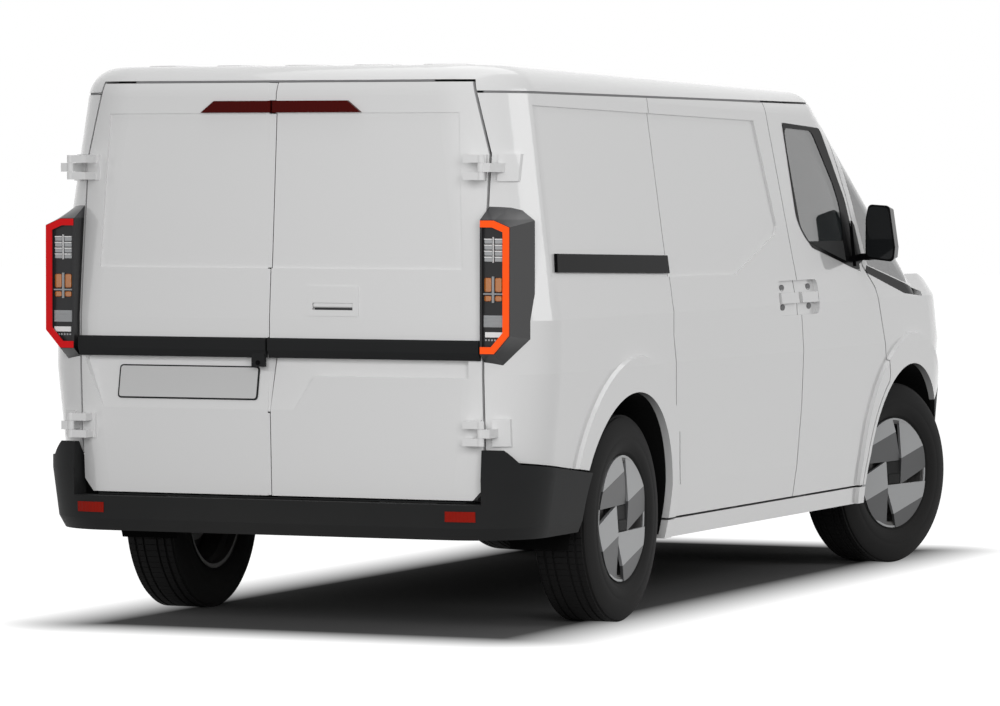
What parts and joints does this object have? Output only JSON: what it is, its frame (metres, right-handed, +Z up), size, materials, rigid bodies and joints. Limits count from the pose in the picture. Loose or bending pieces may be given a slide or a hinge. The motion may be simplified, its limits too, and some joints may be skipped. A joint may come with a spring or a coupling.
{
  "type": "electric panel van",
  "caption": "Electric panel van with a sliding side door, hinged rear doors, cab doors and bonnet, steered front wheels and wheels that roll.",
  "frame": {"origin": "on the ground under the centre of the van's bounding box", "axes": "+X forward to the nose, +Y to the van's left, +Z up"},
  "size_m": [4.987, 2.1376, 1.9627],
  "materials": {
    "white_paint": "gloss",
    "window_glass": "polished",
    "black_gloss": "gloss",
    "dark_plastic": "grained",
    "clear_lamp": "clear",
    "red_lamp": "gloss",
    "lit_ring": "lit",
    "lamp_housing": "satin",
    "black_steel": "satin",
    "cast_housing": "cast",
    "battery_case": "satin",
    "inner_steel": "satin",
    "cab_plastic": "grained",
    "seat_cloth": "woven",
    "tyre": "moulded",
    "wheel_silver": "satin"
  },
  "bodies": {
    "body": {"side_panel_left": "white_paint", "side_panel_right": "white_paint", "sliding_door": "white_paint", "roof_panel": "white_paint", "rocker_panels": "white_paint", "windscreen": "window_glass", "windscreen_surround": "black_gloss", "quarter_glass": "window_glass", "front_wing_left": "white_paint", "front_wing_right": "white_paint", "nose_panel": "white_paint", "front_bumper": "dark_plastic", "lower_grille": "dark_plastic", "headlamps": "clear_lamp", "rear_bumper": "dark_plastic", "rear_reflectors": "red_lamp", "rear_hinge_leaves": "white_paint", "tail_lamps": "lamp_housing", "tail_rings": "lit_ring", "slide_rail": "black_gloss", "rear_axle": "black_steel", "front_subframe": "black_steel", "drive_unit": "cast_housing", "battery_pack": "battery_case", "wheel_houses": "dark_plastic", "floor_pan": "inner_steel", "load_floor": "dark_plastic", "bulkhead": "inner_steel", "dashboard": "cab_plastic", "seat_bases": "black_steel", "seats": "seat_cloth", "wipers": "dark_plastic", "roof_aerial": "dark_plastic"},
    "front_door_left": {"front_door_left": "white_paint", "door_glass_left": "window_glass", "mirror_left": "black_gloss"},
    "rear_door_left": {"rear_door_left": "white_paint", "rear_bar_left": "dark_plastic", "brake_lamp_left": "red_lamp"},
    "knuckle_left": {"knuckle_left": "black_steel"},
    "wheel_front_left": {"wheel_front_left": "wheel_silver", "tyre_front_left": "tyre"},
    "wheel_rear_left": {"wheel_rear_left": "wheel_silver", "tyre_rear_left": "tyre"},
    "front_door_right": {"front_door_right": "white_paint", "door_glass_right": "window_glass", "mirror_right": "black_gloss"},
    "rear_door_right": {"rear_door_right": "white_paint", "rear_bar_right": "dark_plastic", "brake_lamp_right": "red_lamp"},
    "knuckle_right": {"knuckle_right": "black_steel"},
    "wheel_front_right": {"wheel_front_right": "wheel_silver", "tyre_front_right": "tyre"},
    "wheel_rear_right": {"wheel_rear_right": "wheel_silver", "tyre_rear_right": "tyre"},
    "hood": {"hood": "white_paint"},
    "steering_wheel": {"steering_wheel": "cab_plastic"}
  },
  "joints": [
    {"name": "front_door_left_hinge", "type": "hinge", "parent": "body", "child": "front_door_left", "pos_m": [1.352, 0.938, 0.9], "axis": [0, 0.0262, -0.9997], "range_deg": [0, 70]},
    {"name": "rear_door_left_hinge", "type": "hinge", "parent": "body", "child": "rear_door_left", "pos_m": [-2.488, 0.768, 1.15], "axis": [0, 0, -1], "range_deg": [0, 180]},
    {"name": "steer_left", "type": "hinge", "parent": "body", "child": "knuckle_left", "pos_m": [1.629, 0.73, 0.364], "axis": [0, -0.225, 0.9744], "range_deg": [-17.7, 52.3]},
    {"name": "wheel_front_left_spin", "type": "hinge", "parent": "knuckle_left", "child": "wheel_front_left", "pos_m": [1.64684, 0.78729, 0.364], "axis": [0.2974, 0.9548, 0], "continuous": true},
    {"name": "wheel_rear_left_spin", "type": "hinge", "parent": "body", "child": "wheel_rear_left", "pos_m": [-1.481, 0.79, 0.364], "axis": [0, 1, 0], "continuous": true},
    {"name": "front_door_right_hinge", "type": "hinge", "parent": "body", "child": "front_door_right", "pos_m": [1.352, -0.938, 0.9], "axis": [0, 0.0262, 0.9997], "range_deg": [0, 70]},
    {"name": "rear_door_right_hinge", "type": "hinge", "parent": "body", "child": "rear_door_right", "pos_m": [-2.488, -0.768, 1.15], "axis": [0, 0, 1], "range_deg": [0, 180]},
    {"name": "steer_right", "type": "hinge", "parent": "body", "child": "knuckle_right", "pos_m": [1.629, -0.73, 0.364], "axis": [0, 0.225, 0.9744], "range_deg": [-17.7, 52.3]},
    {"name": "wheel_front_right_spin", "type": "hinge", "parent": "knuckle_right", "child": "wheel_front_right", "pos_m": [1.61116, -0.78729, 0.364], "axis": [0.2974, 0.9548, 0], "continuous": true},
    {"name": "wheel_rear_right_spin", "type": "hinge", "parent": "body", "child": "wheel_rear_right", "pos_m": [-1.481, -0.79, 0.364], "axis": [0, 1, 0], "continuous": true},
    {"name": "hood_hinge", "type": "hinge", "parent": "body", "child": "hood", "pos_m": [1.89, 0, 1.152], "axis": [0, -1, 0], "range_deg": [0, 60]},
    {"name": "steering_wheel_turn", "type": "hinge", "parent": "body", "child": "steering_wheel", "pos_m": [1.029, 0.42, 1.13], "axis": [-0.8829, 0, 0.4695], "range_deg": [-265.5, 784.5]}
  ],
  "couplings": [
    {"joint": "steer_left", "follows": "steer_right", "ratio": 1}
  ]
}
